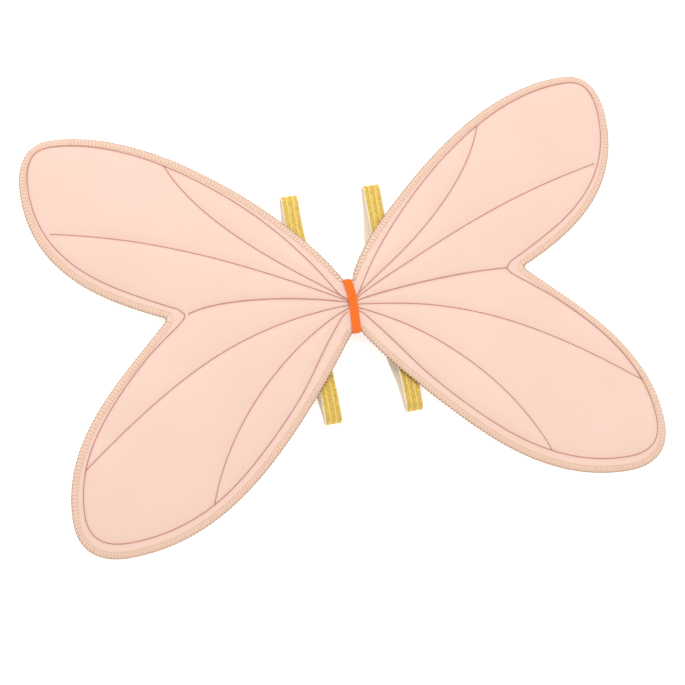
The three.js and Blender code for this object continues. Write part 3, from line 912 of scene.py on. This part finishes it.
def armLoop(side):
    # along: a flat loop, two straight runs joined by half circles. Across: a tape whose gold face has
    # three ribs, with a thin rounded selvedge at each side
    low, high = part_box(side + "_strap_arm_run")
    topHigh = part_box(side + "_strap_sewn_run")[1]
    neck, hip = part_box(side + "_strap_neck_fold")[1].y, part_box(side + "_strap_hip_fold")[0].y
    thick, wide = high.z - low.z, high.x - low.x
    radius = (topHigh.z - low.z - thick) / 2
    middleZ = (topHigh.z + low.z) / 2
    y0, y1 = hip + radius + thick / 2, neck - radius - thick / 2
    bend = np.linspace(math.pi / 2, -math.pi / 2, strap["bendPoints"])
    level = np.full(strap["runPoints"] - 1, radius)
    line = np.concatenate([
        np.stack([np.linspace(y0, y1, strap["runPoints"])[:-1], level], 1),
        np.stack([y1 + radius * np.cos(bend), radius * np.sin(bend)], 1)[:-1],
        np.stack([np.linspace(y1, y0, strap["runPoints"])[:-1], -level], 1),
        np.stack([y0 - radius * np.cos(bend), -radius * np.sin(bend)], 1)])
    line = evenly(line, strap["steps"] + 1)[:-1]
    ahead = unit(np.roll(line, -1, 0) - np.roll(line, 1, 0))
    outwards = np.stack([-ahead[:, 1], ahead[:, 0]], 1)
    fromEnd = np.minimum(line[:, 0] - hip, neck - line[:, 0])
    lowness = smooth((radius - line[:, 1]) / (2 * radius))
    shift = strap["sag"] * smooth(fromEnd / strap["sagOver"]) * lowness
    across = np.linspace(-1, 1, strap["widthSteps"])
    selvedge = np.sqrt(np.clip(1 - np.abs(across) ** 14, 0, 1))
    ribs = strap["rib"] * np.abs(np.cos(across * math.pi * 1.5)) * (np.abs(across) < 0.93)
    outer = (thick / 2 - strap["rib"]) * selvedge + ribs
    inner = -thick / 2 * selvedge
    sx = np.concatenate([across, across[::-1][1:-1]]) * wide / 2
    sh = np.concatenate([outer, inner[::-1][1:-1]])
    for toEnd, lean in zip((line[:, 0], -line[:, 0]), strap["lean"][side]):
        shift += lean * smooth((toEnd - strap["leanFrom"]) / strap["leanOver"])
    x = (low.x + high.x) / 2 + shift[:, None] + sx[None]
    yz = line[:, None] + outwards[:, None] * sh[None, :, None]
    points = np.stack([x, yz[..., 0], middleZ + yz[..., 1]], -1)
    length = np.arange(len(line)) * np.linalg.norm(line[1] - line[0])
    uv = np.stack(np.meshgrid(length, sx, indexing="ij"), -1)
    quads = gridFaces(len(line), len(sx), closeRows=True, closeColumns=True)
    piece = makeMesh(side + "ArmLoop", points.reshape(-1, 3), quads, uv=uv.reshape(-1, 2),
                     look=[materials["gold"], materials["elasticBack"]])
    column = np.tile(np.arange(len(sx)), len(line))
    onFace = (column >= 2) & (column < len(across) - 3)
    piece.data.polygons.foreach_set("material_index", np.where(onFace, 0, 1).astype(np.int32))
    return piece


for side in sides:
    loop = armLoop(side)
    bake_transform(loop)
    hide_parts(*[f"{side}_strap_{k}" for k in ("sewn_run", "arm_run", "neck_fold", "hip_fold")])
    parts = []
    for end in ("neck_tack", "hip_tack"):
        low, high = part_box(f"{side}_strap_{end}")
        corner = np.arange(strap["tackPoints"])  # a zigzag across the tape, from one side to the other
        swing = 0.5 + 0.5 * np.sign(np.sin(corner * 1.6))
        zigzag = np.stack([np.linspace(low.x, high.x, len(corner)), low.y + (high.y - low.y) * swing,
                           np.full(len(corner), high.z)], 1)
        down = np.tile([0.0, 0.0, -1.0], (len(corner), 1))
        parts.append(stitches(zigzag, down, *strap["tackStitch"]))
    points, quads, uv = joined(parts)
    tacks = makeMesh(side + "BarTacks", points, quads, uv=uv, look=[materials["cream"]])
    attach(tacks, side + "_wing")
    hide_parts(f"{side}_strap_neck_tack", f"{side}_strap_hip_tack")
print("arm loops made")


# floor, light and camera

camera = {
    "place": (-0.1915, -0.1751, 1.0968),
    "target": (-0.0126, -0.0299, 0.008),
    "turn": math.radians(10.04),   # how far the camera is turned from upright with the wings
    "lens": 70,
    "sensor": 36,
}

dish = {
    "flat": 3.5,          # metres from the middle to where the floor starts to rise
    "rise": 2.5,          # and the radius of the quarter circle by which it rises
    "level": -0.4 * mm,
    "spokes": 96,
    "flatRings": 5,
    "bendRings": 16,
    "glow": 0.45,         # keeps the shadows faint
}


def addFloor():
    # a wide shallow dish of spokes and rings: flat round the middle, then a quarter circle up
    bend = np.linspace(0, math.pi / 2, dish["bendRings"])
    near = np.linspace(0.01, dish["flat"], dish["flatRings"], endpoint=False)
    radius = np.concatenate([near, dish["flat"] + dish["rise"] * np.sin(bend)])
    height = np.concatenate([np.zeros(len(near)), dish["rise"] * (1 - np.cos(bend))]) + dish["level"]
    spokes, rings = dish["spokes"], len(radius)
    turn = np.linspace(0, 2 * math.pi, spokes, endpoint=False)[:, None]
    points = np.stack([radius * np.cos(turn), radius * np.sin(turn), np.tile(height, (spokes, 1))], -1)
    points = np.concatenate([points.reshape(-1, 3), [[0, 0, dish["level"]]]])
    first = np.arange(spokes) * rings
    middle = np.stack([first, np.roll(first, -1), np.full(spokes, spokes * rings)], 1)
    material = newMaterial("whiteAcrylic", Base_Color=linear("#fbfbfb"), Roughness=0.9,
                           Specular_IOR_Level=0.1, Emission_Color=linear("#ffffff"),
                           Emission_Strength=dish["glow"])[0]
    makeMesh("floor", points, gridFaces(spokes, rings, closeRows=True), middle, look=[material])


softboxes = {
    "topSoftbox": ((-0.3, 1.2, 1.8), 1.4, 24),  # place, side and watts
    "sideSoftbox": ((1.3, -0.6, 1.7), 1.4, 7),
}
roomLight = 0.63


def addSoftLight(name, place, size, watts):
    # a square lamp that faces the middle
    data = bpy.data.lights.new(name, "AREA")
    data.shape = "SQUARE"
    data.size = size
    data.energy = watts
    light = bpy.data.objects.new(name, data)
    light.location = place
    light.rotation_euler = Vector(place).to_track_quat("Z", "Y").to_euler()
    bpy.context.scene.collection.objects.link(light)


def addCamera():
    # the camera's axes: back along the line of sight, right square to it and to the leaning upright
    data = bpy.data.cameras.new("camera")
    data.lens = camera["lens"]
    data.sensor_width = camera["sensor"]
    back = (Vector(camera["place"]) - Vector(camera["target"])).normalized()
    upright = Vector((math.sin(camera["turn"]), math.cos(camera["turn"]), 0))
    right = upright.cross(back).normalized()
    up = back.cross(right)
    view = bpy.data.objects.new("camera", data)
    axes = Matrix((right, up, back)).transposed().to_4x4()
    view.matrix_world = Matrix.Translation(camera["place"]) @ axes
    bpy.context.scene.collection.objects.link(view)
    bpy.context.scene.camera = view


addFloor()
for name, settings in softboxes.items():
    addSoftLight(name, *settings)
world = bpy.data.worlds.new("studio")
world.use_nodes = True
world.node_tree.nodes["Background"].inputs["Color"].default_value = linear("#ffffff")
world.node_tree.nodes["Background"].inputs["Strength"].default_value = roomLight
bpy.context.scene.world = world
bpy.context.scene.view_settings.view_transform = "Standard"
addCamera()
print("floor, light and camera made")
